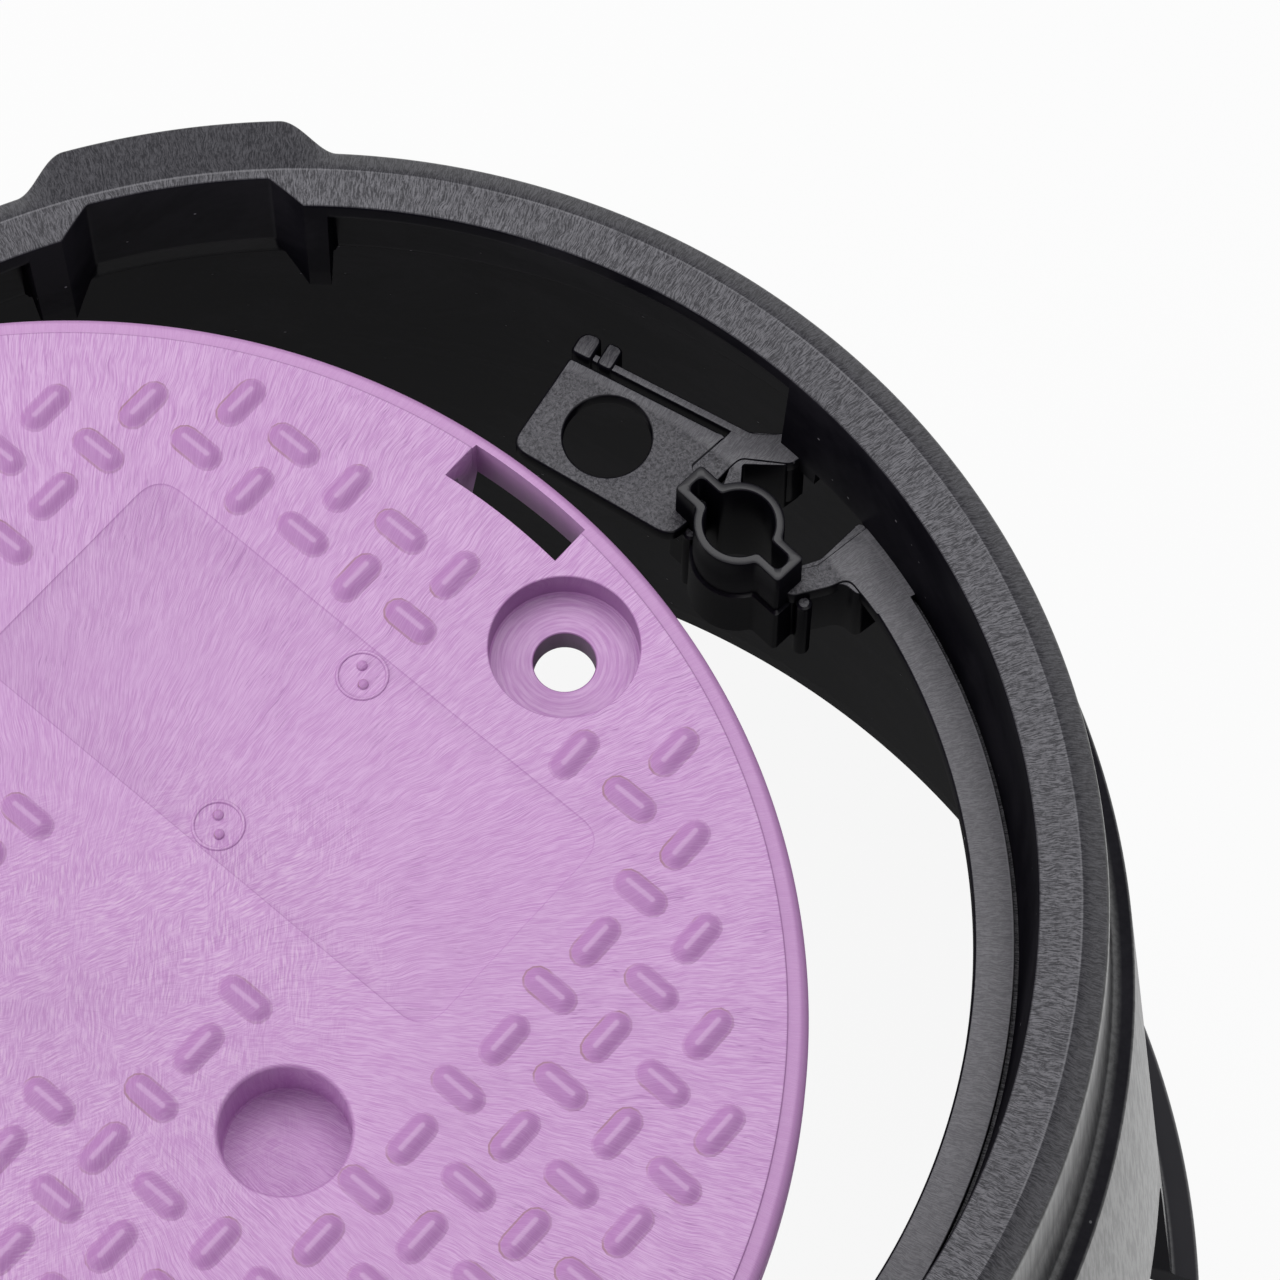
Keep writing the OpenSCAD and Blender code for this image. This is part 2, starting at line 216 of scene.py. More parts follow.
# black box: flared wall, folded rim, lug and notch; sizes in millimetres, azimuths in degrees
box = {
    "height": 240.0,
    "footRadius": 175.0,
    "wall": 4.6,
    "shoulderRadius": 145.9,
    "shoulderDrop": 39.4,
    "flare": 0.119,
    "rimRadius": 138.5,
    "foldRadius": 134.0,
    "mouthRadius": 126.5,
    "seatRadius": 124.8,
    "ledgeDrop": 23.0,
    "ledgeRadius": 117.0,
    "lugRadius": 146.0,
    "notchRadius": 132.0,
    "slotWidth": 88.0,
    "slotHeight": 96.0,
    "slotAzimuth": -23.0,
    "ribCount": 24,
    "ribThick": 3.0,
    "hollowDepth": 5.0,
    "windowSpan": (28.0, 34.6),
    "openSpans": ((38.5, 79.2), (103.3, 121.8)),
    "ledgeSpan": (122.0, 382.2),
    "notchSides": (-24.0, 20.6),
    "notchSlope": 6.2,
    "lugSides": ((-31.0, -20.5), (17.5, 28.0)),
}
rimZ = box["height"]
ledgeZ = rimZ - box["ledgeDrop"]
shoulderZ = rimZ - box["shoulderDrop"]
hollowZ = rimZ - box["hollowDepth"]


def wallRadius(z):
    # outer radius of the flared wall at a height
    return box["shoulderRadius"] + box["flare"] * (shoulderZ - z)


def boxWall():
    # the half section is blended by azimuth between five forms: the seat wall with its hollow, the rim
    # open inside, the window under the seat wall, the solid backing of the notch, and the notch; the lug
    # is added on the outside
    rim, fold, mouth, seat = box["rimRadius"], box["foldRadius"], box["mouthRadius"], box["seatRadius"]
    lug, notch = box["lugRadius"], box["notchRadius"]
    inner = shoulderZ - 5
    same = (0, 0)
    # plain point, corner cut, open, window, backing, notch, lug
    table = [
        ((box["footRadius"], 0), 0.9, same, same, same, same, same),
        ((box["footRadius"], 6), 1.2, same, same, same, same, same),
        ((wallRadius(9) + 0.4, 7.2), 1.6, same, same, same, same, same),
        ((wallRadius(60), 60), 1.0, same, same, same, same, same),
        ((box["shoulderRadius"], shoulderZ), 0.55, same, same, same, same, same),
        ((141.6, shoulderZ + 1.7), 2.3, same, same, same, same, same),
        ((139.9, 218), 1.0, same, same, same, same, (lug, 213.5)),
        ((138.75, rimZ - 4.0), 0.5, same, same, same, same, (lug + 0.1, rimZ - 6.9)),
        ((rim, rimZ - 2.6), 0.55, same, same, same, same, (lug, rimZ - 4.6)),
        ((fold, rimZ), 0.22, same, same, same, same, same),
        ((mouth, rimZ), 0.5, same, same, same, (notch, rimZ), same),
        ((seat, ledgeZ + 0.6), 0.5, (126.3, rimZ - 3.2), same, same, (notch, ledgeZ), same),
        ((seat, ledgeZ - 5), 0.5, (126.8, rimZ - 4.9), (seat, ledgeZ - 0.7), same,
         (notch + 0.5, ledgeZ - 1.5), same),
        ((129.0, ledgeZ - 5), 0.6, (128.5, hollowZ), (129.1, ledgeZ - 0.9), same,
         (134.0, ledgeZ - 8), same),
        ((129.7, hollowZ), 0.8, (131.0, hollowZ), same, (131.5, ledgeZ - 4), (135.0, ledgeZ - 11), same),
        ((134.3, hollowZ), 0.8, same, same, (134.0, ledgeZ - 9), (135.6, ledgeZ - 12.5), same),
        ((137.4, shoulderZ + 2.2), 1.6, same, same, same, same, same),
        ((wallRadius(inner) - box["wall"], inner), 2.0, same, same, same, same, same),
        ((wallRadius(0) - box["wall"], 0), 0.9, same, same, same, same, same),
    ]
    cuts = [row[1] for row in table]

    def form(column):
        points = [row[column] if row[column] != same else row[0] for row in table]
        return softCorners(points, cuts, 5)

    plain, openRim, window, backing, notched, lugged = (form(column) for column in (0, 2, 3, 4, 5, 6))
    firstOpen, lastOpen = box["openSpans"]
    limits = np.array([*box["windowSpan"], *firstOpen, *lastOpen])
    azimuths = np.unique(np.concatenate([
        np.linspace(0, 360, 541)[:-1], np.linspace(76, 106, 181), limits - 0.04, limits + 0.04]).round(3))
    a = np.radians(azimuths)

    def inside(low, high):
        return ((azimuths > low) & (azimuths < high)).astype(float)[:, None, None]

    section = plain + (inside(*firstOpen) + inside(*lastOpen)) * (openRim - plain)
    section = section + inside(*box["windowSpan"]) * (window - plain)
    section = section + inside(firstOpen[1], lastOpen[0]) * (backing - plain)
    # sideways places on the notch's back wall and on the lug, which share the side that faces +Y
    xIn, xOut = notch * np.cos(a), 143.0 * np.cos(a)
    facing = np.sin(a) > 0.5
    (left, right), slope = box["notchSides"], box["notchSlope"]
    notchShare = facing * np.clip((xIn - left) / slope, 0, 1) * np.clip((right - xIn) / slope, 0, 1)
    leftSide, rightSide = box["lugSides"]
    lugShare = facing * smoothStep(xOut, *leftSide) * (1 - smoothStep(xOut, *rightSide))
    section = section + notchShare[:, None, None] * (notched - section)
    section = section + lugShare[:, None, None] * (lugged - plain)
    r, z = section[..., 0], section[..., 1]
    points = np.stack([r * np.cos(a)[:, None], r * np.sin(a)[:, None], z], -1).reshape(-1, 3)
    return closedShell(points, gridQuads(len(a), section.shape[1], True, True))


def pipeSlotTool(azimuth):
    # a round-topped tunnel, carried outwards along its own azimuth
    half, top = box["slotWidth"] / 2, box["slotHeight"]
    t = np.radians(np.linspace(0, 180, 49))
    arch = np.column_stack([half * np.cos(t), top - half + half * np.sin(t)])
    arch = np.vstack([[half, -5.0], arch, [-half, -5.0]])
    rings = [np.column_stack([np.full(len(arch), x), arch]) for x in (135.0, 195.0)]
    return moveShell(stackRings(rings), azimuth)


def coverLedge():
    # the ledge's section carried round the box; the groove beside the seat wall is part of the section
    seat, edge = box["seatRadius"], box["ledgeRadius"]
    low, groove, top = ledgeZ - 4, ledgeZ - 2.4, ledgeZ - 0.03
    corners = [(edge, low), (seat + 2.2, low), (seat + 2.0, groove), (seat - 0.8, groove),
               (seat - 0.8, top), (edge, top)]
    section = softCorners(corners, [0.5, 0.1, 0.1, 0.1, 0.35, 0.6], 4)
    return turnedShell(section, np.linspace(*box["ledgeSpan"], 421), wrap=False)


def rimRib():
    # one thin rib that ties the two walls of the folded rim
    side = np.array([(128.2, 213.2), (128.2, 236), (135.0, 236), (138.4, 202.8), (136.9, 203.6)])
    half = box["ribThick"] / 2
    return stackRings([
        np.column_stack([side[:, 0], np.full(len(side), y), side[:, 1]]) for y in (-half, half)])


# lock socket and bracket
lock = {
    "radius": 105.5,
    "azimuth": 34.3,
    "bore": 6.3,
    "wall": 1.7,
    "rise": 9.0,
    "length": 28.0,
    "slotHalf": 11.0,
    "slotWidth": 3.2,
    "slotTurn": -54.0,
    "plateHole": 7.9,
    "plateThick": 3.4,
    "platePlace": (67.5, 83.5),
    "plateTurn": -38.0,
    "pinRadius": 1.5,
    "pinLength": 19.0,
    "pinPlaces": ((79.4, 63.9), (97.0, 47.6)),
}
socketX = lock["radius"] * math.cos(math.radians(lock["azimuth"]))
socketY = lock["radius"] * math.sin(math.radians(lock["azimuth"]))
socketTop = ledgeZ + lock["rise"]
socketLow = socketTop - lock["length"]


def keyholePlan(grow):
    # a circle with a slot across it, every side moved out by "grow", walked round from the slot's end
    radius = lock["bore"] + grow
    half = lock["slotWidth"] / 2 + grow
    reach = lock["slotHalf"] + grow
    cut = 0.9 if grow > 0.8 else 1.3
    s = np.linspace(0, 1, 6)[:, None]

    def bend(a, p, c):
        a, p, c = (np.asarray(q, float) for q in (a, p, c))
        return (1 - s) ** 2 * a + 2 * s * (1 - s) * p + s**2 * c

    meet = math.asin(half / radius)
    ease = 0.8 / radius
    meetX = radius * math.cos(meet)
    onArc = (radius * math.cos(meet + ease), radius * math.sin(meet + ease))
    t = np.linspace(meet + ease, math.pi - meet - ease, 25)[1:-1]
    quarter = np.vstack([bend((reach, half - cut), (reach, half), (reach - cut, half)),
                         bend((meetX + 0.8, half), (meetX, half), onArc)])
    top = np.vstack([quarter, np.column_stack([radius * np.cos(t), radius * np.sin(t)]),
                     (quarter * [-1, 1])[::-1]])
    return np.vstack([top, -top])


def socketTube():
    # the keyhole outline at each (grow, height) of the tube's own section: bore, mouth, outside, step
    w, step = lock["wall"], ledgeZ - 4.0
    section = [
        (0.05, socketLow), (0.0, socketLow + 0.3), (0.0, socketTop - 0.45), (0.08, socketTop - 0.18),
        (0.3, socketTop), (w - 0.45, socketTop), (w - 0.14, socketTop - 0.14), (w, socketTop - 0.45),
        (w + 0.06, step + 0.3), (w + 0.25, step), (w + 0.6, step - 0.3), (w + 0.75, socketLow + 0.4),
        (w + 0.45, socketLow),
    ]
    rings = [planAt(keyholePlan(grow), z) for grow, z in section]
    shell = closedShell(np.vstack(rings), gridQuads(len(section), len(rings[0]), True, True))
    return moveShell(shell, lock["slotTurn"], (socketX, socketY, 0))


def densePlan(outline, spacing=0.7):
    # adds points along the long sides of an outline
    after = np.roll(outline, -1, 0)
    counts = np.maximum(1, np.ceil(np.linalg.norm(after - outline, axis=1) / spacing).astype(int))
    index = np.repeat(np.arange(len(outline)), counts)
    part = np.concatenate([np.arange(n) / n for n in counts])[:, None]
    return outline[index] * (1 - part) + after[index] * part


def plateShell():
    # ring of points between a round hole and the plate's outline, both read at the same bearings
    plan = softCorners(
        [(-14.2, -10.1), (19.2, -11.7), (21.0, -6.6), (22, -2), (16.0, 2.5), (18.5, 10.4), (-13.4, 10.3)],
        [3.4, 3.2, 1.0, 1.0, 0.3, 0.3, 0.7],
        6,
    )
    bearings = np.linspace(-math.pi, math.pi, 289)[:-1]

    def reachAt(inset):
        q = densePlan(insetPlan(plan, inset))
        angle, length = np.arctan2(q[:, 1], q[:, 0]), np.hypot(q[:, 0], q[:, 1])
        order = np.argsort(angle)
        return np.interp(bearings, angle[order], length[order], period=2 * math.pi)

    hole, high, low = lock["plateHole"], ledgeZ - 0.06, ledgeZ - lock["plateThick"]
    levels = edgeLevels(low, high, 0.45)
    rings = [np.full(len(bearings), hole + 0.9 * inset) for inset, z in levels]
    rings += [reachAt(inset) for inset, z in levels[::-1]]
    heights = [z for inset, z in levels + levels[::-1]]
    points = np.vstack([
        np.column_stack([r * np.cos(bearings), r * np.sin(bearings), np.full(len(bearings), z)])
        for r, z in zip(rings, heights)
    ])
    return closedShell(points, gridQuads(len(rings), len(bearings), True, True))


def bracketShells():
    # the plate, the snap arm, its web with a block below, and two rounded posts
    arm = softCorners([(-9.8, 11.5), (22, 11.5), (22, 13.1), (-9.8, 13.1)], 0.4, 4)
    web = softCorners(
        [(18.5, 13.1), (18.5, 11.6), (18.3, 10.5), (15.7, 2.0), (20.5, -1.5), (21.9, 5.4), (22.7, 7.8),
         (31, 11.2), (32.6, 14.4), (27.5, 16.3), (24.5, 14.2), (21.8, 13.1)],
        [0.4, 0.4, 0.4, 1.0, 1.2, 1.0, 1.0, 1.0, 1.0, 1.0, 1.2, 0.8],
        5,
    )
    block = softCorners(
        [(19.6, 8.6), (22.6, 7.9), (30.9, 11.3), (32.5, 14.4), (27.5, 16.2), (20.6, 12.9)],
        [0.6, 0.8, 0.8, 0.8, 0.8, 0.6],
        3,
    )
    leftPost = softCorners(
        [(-13.9, 11.2), (-9.8, 11.2), (-9.8, 15.4), (-10.6, 16.2), (-12.8, 16.0), (-13.9, 14.6)],
        [0.9, 0.9, 0.55, 0.55, 0.9, 0.9],
        4,
    )
    rightPost = softCorners(
        [(-8.7, 11.2), (-5.6, 11.2), (-5.6, 15.6), (-6.4, 16.2), (-8.7, 16.2)],
        [0.9, 0.9, 0.5, 0.5, 0.9],
        4,
    )
    neck = [(-12.5, 11.7), (-7, 11.7), (-7, 13.0), (-12.5, 13.0)]
    shells = [
        plateShell(),
        raisedPlan(arm, ledgeZ - 3.4, ledgeZ, 0.25),
        raisedPlan(web, ledgeZ - 3.3, ledgeZ - 0.02, 0.25),
        raisedPlan(block, socketLow + 2.0, ledgeZ - 0.5, 0.2),
        raisedPlan(leftPost, ledgeZ - 9.0, ledgeZ + 0.4, 0.5),
        raisedPlan(rightPost, ledgeZ - 9.0, ledgeZ + 0.4, 0.45),
        raisedPlan(neck, ledgeZ - 8.5, ledgeZ - 1.6, 0.2),
    ]
    x, y = lock["platePlace"]
    return [moveShell(shell, lock["plateTurn"], (x, y, 0)) for shell in shells]


def housingShells():
    # walls below the ledge that tie the socket to the rim, and the ledge's own pointed end
    left = softCorners(
        [(84.6, 68), (88.4, 66), (90.4, 74.6), (97.8, 73.2), (101.3, 75.2), (99.2, 77.8), (91, 79.4),
         (88.6, 75.6)],
        0.5,
        3,
    )
    right = softCorners(
        [(93, 51), (94.4, 48.6), (104.3, 49.6), (106.5, 46.5), (114.5, 51.2), (111.8, 59), (108.8, 60.4),
         (101, 54.6), (95, 53.6)],
        [0.5, 0.5, 2.0, 1.5, 0.5, 0.5, 0.5, 1.0, 0.5],
        4,
    )
    tip = softCorners(
        [(91.5, 50.5), (94.9, 48.2), (101.8, 48.9), (105.2, 50.0), (107.5, 45.6), (109.05, 42.3),
         (120.5, 46.8), (113.9, 61.4), (110, 59.3), (100.2, 53.4), (95, 53)],
        [0.7, 0.8, 1.2, 1.7, 1.0, 0.5, 0.5, 0.5, 0.5, 1.0, 0.8],
        5,
    )
    shells = [
        raisedPlan(left, socketLow, ledgeZ - 0.3, 0.2),
        raisedPlan(right, socketLow, ledgeZ - 0.5, 0.2),
        raisedPlan(tip, ledgeZ - 3.7, ledgeZ - 0.06, 0.25),
    ]
    r, low = lock["pinRadius"], ledgeZ - lock["plateThick"] - lock["pinLength"]
    top = low + lock["pinLength"] + 1.1
    profile = [(0, low), (r - 0.3, low), (r, low + 0.3), (r, top - 0.8), (r - 0.15, top - 0.3),
               (r - 0.6, top), (0, top)]
    pin = solidTurned(np.array(profile), 28)
    return shells + [moveShell(pin, 0, (x, y, 0)) for x, y in lock["pinPlaces"]]


def buildBox():
    # the wall with its two pipe slots, and everything that is moulded on it; the ribs stand where the
    # rim is closed inside
    wall = makePiece("boxWall", boxWall())
    carve(wall, [makePiece("slotTool", pipeSlotTool(box["slotAzimuth"] + turn)) for turn in (0, 180)])
    shells = [coverLedge(), socketTube()] + bracketShells() + housingShells()
    ribPlaces = (np.arange(box["ribCount"]) + 0.5) * 360.0 / box["ribCount"]
    openFrom, openTo = box["openSpans"][0][0], box["openSpans"][1][1]
    shells += [moveShell(rimRib(), place) for place in ribPlaces if not openFrom < place < openTo]
    details = makePiece("boxDetails", joinShells(shells))
    print("box made:", len(wall.data.polygons), len(details.data.polygons))
    return wall, details


# cover: tread plate, skirt, holes and marks; places are on the cover, with +Y towards its pry slot
cover = {
    "radius": 124.5,
    "height": 22.5,
    "plate": 5.6,
    "skirtRadius": 119.5,
    "skirtWall": 4.0,
    "boltRadius": 5.3,
    "boreRadius": 12.7,
    "boreDepth": 6.8,
    "pocketRadius": 10.8,
    "pocketDepth": 11.0,
    "pocketPlace": (44.1, 10.1),
    "barLength": 9.6,
    "barWidth": 4.4,
    "barHeight": 1.5,
    "pitch": (12.1, 11.2),
    "treadRadius": 113.5,
    "slide": 48.0,
    "slideAzimuth": 210.0,
    "turn": -49.7,
    "boltX": 22.3,
    "prySpan": (-13.4, 10.8),
    "pryRadii": (114.4, 122.0),
    "panelCorners": ((-50, 37), (50, 82)),
    "panelRound": 5.5,
    "markPlaces": ((0.4, 77.2), (0.4, 41.9)),
    "ribRings": (45.0, 84.0),
    "spokes": 12,
}
boltX = cover["boltX"]
boltY = math.sqrt(lock["radius"] ** 2 - boltX**2)
coverX = cover["slide"] * math.cos(math.radians(cover["slideAzimuth"]))
coverY = cover["slide"] * math.sin(math.radians(cover["slideAzimuth"]))
coverTop = cover["height"]


def barPlaces():
    # columns and rows of the tread, without the panel, holes, centre and pry slot
    k, j = np.meshgrid(np.arange(-9, 10), np.arange(-10, 11), indexing="ij")
    k, j = k.ravel(), j.ravel()
    x, y = k * cover["pitch"][0], j * cover["pitch"][1]

    def far(cx, cy):
        return np.hypot(x - cx, y - cy)

    keep = (far(0, 0) < cover["treadRadius"]) & ~((abs(x) < 55) & (y > 31) & (y < 87))
    keep &= (far(boltX, boltY) > cover["boreRadius"] + 5.5) & (far(-1, 8) > 20)
    keep &= (far(*cover["pocketPlace"]) > cover["pocketRadius"] + 4.5) & ~((abs(x) < 22) & (y > 106))
    return x[keep], y[keep], ((k + j) % 2)[keep]


def treadShell():
    # each bar: the inset of a round-ended outline against its height gives a soft foot, sloped sides and
    # a round ridge; every second bar is turned a quarter
    w = cover["barWidth"] / 2
    run = cover["barLength"] / 2 - w
    inset = np.array([-0.42, -0.42, 0.0, 0.75, 1.5, 1.95])
    height = np.array([-0.3, 0.02, 0.22, 0.92, 1.4, 1.5]) * (cover["barHeight"] / 1.5)
    t = np.radians(np.linspace(-90, 90, 7))
    n = len(t)
    right, left = np.column_stack([np.full(n, run), t]), np.column_stack([np.full(n, -run), t + math.pi])
    ends = np.vstack([right, left])
    radius = (w - inset)[:, None]
    x = ends[None, :, 0] + radius * np.cos(ends[None, :, 1])
    y = radius * np.sin(ends[None, :, 1])
    z = np.broadcast_to(height[:, None], x.shape) + coverTop
    one = stackRings(np.stack([x, y, z], -1))
    px, py, upright = barPlaces()
    turned = one["points"][:, [1, 0, 2]] * [-1, 1, 1]
    points = np.where(upright[:, None, None] == 1, turned[None], one["points"][None])
    points = points + np.column_stack([px, py, 0 * px])[:, None, :]
    count, size = points.shape[:2]
    shift = (np.arange(count) * size)[:, None, None]
    quads = (one["quads"][None] + shift).reshape(-1, 4)
    caps = [cap + i * size for i in range(count) for cap in one["caps"]]
    print("tread bars:", count)
    return {"points": points.reshape(-1, 3), "quads": quads, "caps": caps}


def coverPlate():
    # the half section carried round the axis; each corner has its radius, its height and its cut
    r, top, s = cover["radius"], cover["height"], cover["skirtRadius"]
    inside, low, middle = s - cover["skirtWall"], top - cover["plate"], 40.0
    table = np.array([
        (s, 0, 0.5), (r - 2.2, top - 10, 0.8), (r - 1.9, top - 9, 0.3), (r, top - 8.9, 0.7),
        (r, top - 2.6, 0.7), (r - 1.0, top - 0.9, 0.8), (r - 3.5, top - 0.3, 0.12), (r - 3.5, top, 0.14),
        (middle, top, 0), (middle, low, 0), (inside + 2, low, 1.6), (inside, 0, 0.5),
    ], float)
    steps = 6
    section = softCorners(table[:, :2], np.maximum(table[:, 2], 1e-4), steps)
    # corners 8 and 10 bound the part of the section that opens to the axis
    firstTop, lastLow = 8 * (steps + 1), 10 * (steps + 1)
    return solidTurned(np.vstack([[0, low], section[lastLow:], section[:firstTop], [0, top]]), 480)


def cupShell(x, y, radius, low, high):
    # a plain round boss with a soft lower edge
    profile = [(0, low), (radius - 0.6, low), (radius, low + 0.6), (radius, high), (0, high)]
    return moveShell(solidTurned(np.array(profile), 96), 0, (x, y, 0))


def boreTool(x, y, radius, floor, top, soft, through=0.0):
    # a round cutter that widens at the mouth, so that the hole gets a rounded lip
    t = np.radians(np.linspace(0, 90, 6))
    profile = [(0, floor)]
    if through:
        profile = [(0, -2), (through, -2), (through, floor - 0.2), (through + 0.2, floor)]
    profile += [(radius - 0.35, floor), (radius, floor + 0.35)]
    profile += [(radius + soft * (1 - math.cos(a)), top - soft * (1 - math.sin(a))) for a in t]
    profile += [(radius + soft, top + 6), (0, top + 6)]
    return moveShell(solidTurned(np.array(profile, float), 128), 0, (x, y, 0))


def prySlotTool():
    # the slot's two long sides follow the cover's edge
    t = np.linspace(*cover["prySpan"], 25)
    nearSide, farSide = (np.column_stack([t, np.sqrt(radius**2 - t**2)]) for radius in cover["pryRadii"])
    plan = np.vstack([nearSide, farSide[::-1]])
    levels = [(0, -3.0), (0, coverTop - 0.35), (-0.1, coverTop - 0.1), (-0.35, coverTop),
              (-0.35, coverTop + 6)]
    return stackRings([planAt(insetPlan(plan, inset), z) for inset, z in levels])


def panelTool():
    # a shallow rounded rectangle, cut 0.3 mm into the plate
    (x0, y0), (x1, y1) = cover["panelCorners"]
    plan = softCorners([(x0, y0), (x1, y0), (x1, y1), (x0, y1)], cover["panelRound"], 10)
    levels = [(0.35, coverTop - 0.3), (0, coverTop - 0.05), (-0.2, coverTop + 1)]
    return stackRings([planAt(insetPlan(plan, inset), z) for inset, z in levels])


def mouldMark(x, y):
    # a thin raised ring and two domed pips
    t = np.radians(np.linspace(0, 180, 7))
    ring = np.column_stack([4.2 + 0.34 * np.cos(t), coverTop - 0.32 + 0.34 * np.sin(t)])
    ring = np.vstack([ring, [(3.86, coverTop - 0.7), (4.54, coverTop - 0.7)]])
    shells = [turnedShell(ring, np.linspace(0, 360, 65)[:-1])]
    a = np.radians(np.linspace(0, 90, 7))
    dome = np.vstack([[(0, coverTop - 0.6), (0.95, coverTop - 0.6)],
                      np.column_stack([0.95 * np.cos(a[:-1]), coverTop - 0.3 + 0.8 * np.sin(a[:-1])]),
                      [(0, coverTop + 0.5)]])
    pip = solidTurned(dome, 24)
    shells += [moveShell(pip, 0, (-1.2, 1.3, 0)), moveShell(pip, 0, (1.2, -1.1, 0))]
    return [moveShell(shell, 0, (x, y, 0)) for shell in shells]


def coverRibs():
    # two rings and twelve spokes, which stop at the pocket's cup
    low, high = coverTop - 12, coverTop - cover["plate"] + 0.5
    innerRing, outerRing = cover["ribRings"]
    px, py = cover["pocketPlace"]
    bearing = math.degrees(math.atan2(py, px))

    def section(r):
        return np.array([(r, low), (r + 3, low), (r + 3, high), (r, high)])

    shells = [
        turnedShell(section(innerRing), np.linspace(bearing + 15.5, bearing + 344.5, 137), wrap=False),
        turnedShell(section(outerRing), np.linspace(0, 360, 145)[:-1]),
    ]
    for i in range(cover["spokes"]):
        start = innerRing + 12.5 if i == 0 else innerRing - 0.5
        bar = [(start, -1.5), (116.5, -1.5), (116.5, 1.5), (start, 1.5)]
        shells.append(moveShell(raisedPlan(bar, low + 0.02, high, 0.2), i * 360.0 / cover["spokes"] + 10))
    return shells


def buildCover():
    # the plate with its cups and holes, the tread with the mould marks, and the ribs underneath; every
    # shell is made about the cover's own axis and then laid on the rim
    def place(shell):
        return moveShell(shell, cover["turn"], (coverX, coverY, rimZ))

    px, py = cover["pocketPlace"]
    boreFloor, pocketFloor = coverTop - cover["boreDepth"], coverTop - cover["pocketDepth"]
    plate = makePiece("coverPlate", place(coverPlate()))
    cups = [cupShell(boltX, boltY, cover["boreRadius"] + 3.4, boreFloor - 6.2, coverTop - 3),
            cupShell(px, py, cover["pocketRadius"] + 3, pocketFloor - 3, coverTop - 3)]
    carve(plate, [makePiece("cup", place(cup)) for cup in cups], "UNION")
    tools = [
        boreTool(boltX, boltY, cover["boreRadius"], boreFloor, coverTop, 0.35, cover["boltRadius"]),
        boreTool(px, py, cover["pocketRadius"], pocketFloor, coverTop, 0.9),
        prySlotTool(),
        panelTool(),
    ]
    carve(plate, [makePiece("tool", place(tool)) for tool in tools])
    marks = [shell for x, y in cover["markPlaces"] for shell in mouldMark(x, y)]
    tread = makePiece("coverTread", place(joinShells([treadShell()] + marks)))
    ribs = makePiece("coverRibs", place(joinShells(coverRibs())))
    print("cover made:", len(plate.data.polygons), len(tread.data.polygons))
    return plate, tread, ribs


# materials
class Wire:
    # an output socket that takes part in plain Python maths; the tree in use is set for each material
    tree = None

    def __init__(self, socket):
        self.socket = socket

    @classmethod
    def node(cls, kind, settings=None, inputs=None, output=0):
        made = cls.tree.nodes.new(kind)
        for key, value in (settings or {}).items():
            setattr(made, key, value)
        for key, value in (inputs or {}).items():
            if isinstance(value, Wire):
                cls.tree.links.new(value.socket, made.inputs[key])
            else:
                made.inputs[key].default_value = value
        return cls(made.outputs[output])

    def sums(self, operation, other=0.0):
        return Wire.node("ShaderNodeMath", {"operation": operation}, {0: self, 1: other})

    def __add__(self, other):
        return self.sums("ADD", other)

    def __sub__(self, other):
        return self.sums("SUBTRACT", other)

    def __mul__(self, other):
        return self.sums("MULTIPLY", other)

    def __truediv__(self, other):
        return self.sums("DIVIDE", other)

    def __rsub__(self, other):
        return Wire.node("ShaderNodeMath", {"operation": "SUBTRACT"}, {0: other, 1: self})

    __radd__ = __add__
    __rmul__ = __mul__


def between(value, low, high):
    # 0 below low, 1 above high, with a soft change between them
    return Wire.node("ShaderNodeMapRange", {"interpolation_type": "SMOOTHSTEP"},
                     {"Value": value, "From Min": low, "From Max": high})


def mixColour(share, first, second):
    # the first colour where the share is 0, the second where it is 1
    return Wire.node("ShaderNodeMix", {"data_type": "RGBA"}, {0: share, 6: first, 7: second}, 2)


def vectorSum(operation, first, second):
    return Wire.node("ShaderNodeVectorMath", {"operation": operation}, {0: first, 1: second})


def noise(place, scale, detail, rough, distortion=0.0):
    # cloudy values from 0 to 1, in features of about one over the scale
    return Wire.node("ShaderNodeTexNoise", {}, {"Vector": place, "Scale": scale, "Detail": detail,
                                               "Roughness": rough, "Distortion": distortion})


def splitVector(place):
    # a vector's three parts, each as a socket of its own
    outputs = Wire.node("ShaderNodeSeparateXYZ", {}, {0: place}).socket.node.outputs
    return [Wire(socket) for socket in outputs]


def joinVector(x, y, z):
    # the other way round: three numbers or sockets as one vector
    return Wire.node("ShaderNodeCombineXYZ", {}, {0: x, 1: y, 2: z})


def startMaterial(name):
    # an empty material, whose tree the next nodes go to
    material = bpy.data.materials.new(name)
    material.use_nodes = True
    Wire.tree = material.node_tree
    Wire.tree.nodes.clear()
    return material


def finishTree(shader, kind):
    # the shader goes to the output node of a material or of the world
    out = Wire.tree.nodes.new("ShaderNodeOutput" + kind)
    Wire.tree.links.new(shader.socket, out.inputs["Surface"])


def finishMaterial(colour, roughness, normal, others):
    inputs = {"Base Color": colour, "Roughness": roughness, "Normal": normal, **others}
    finishTree(Wire.node("ShaderNodeBsdfPrincipled", {}, inputs), "Material")


def axisDistance(place):
    # the place without its height, and how far it lies from the axis
    x, y, z = splitVector(place)
    flat = joinVector(x, y, 0.0)
    return flat, Wire.node("ShaderNodeVectorMath", {"operation": "LENGTH"}, {0: flat}, 1)


def polarPlace(place, scales):
    # direction from the axis times the first scale, and distance from it times the second: fibres that
    # run outwards
    across, along = scales
    flat, away = axisDistance(place)
    bearing = Wire.node("ShaderNodeVectorMath", {"operation": "NORMALIZE"}, {0: flat})
    bx, by, bz = splitVector(bearing)
    return joinVector(bx * across, by * across, away * along)


def bump(height, strength, distance):
    # a relief that only shades, with its distance in metres
    return Wire.node("ShaderNodeBump", {}, {"Height": height, "Strength": strength, "Distance": distance})


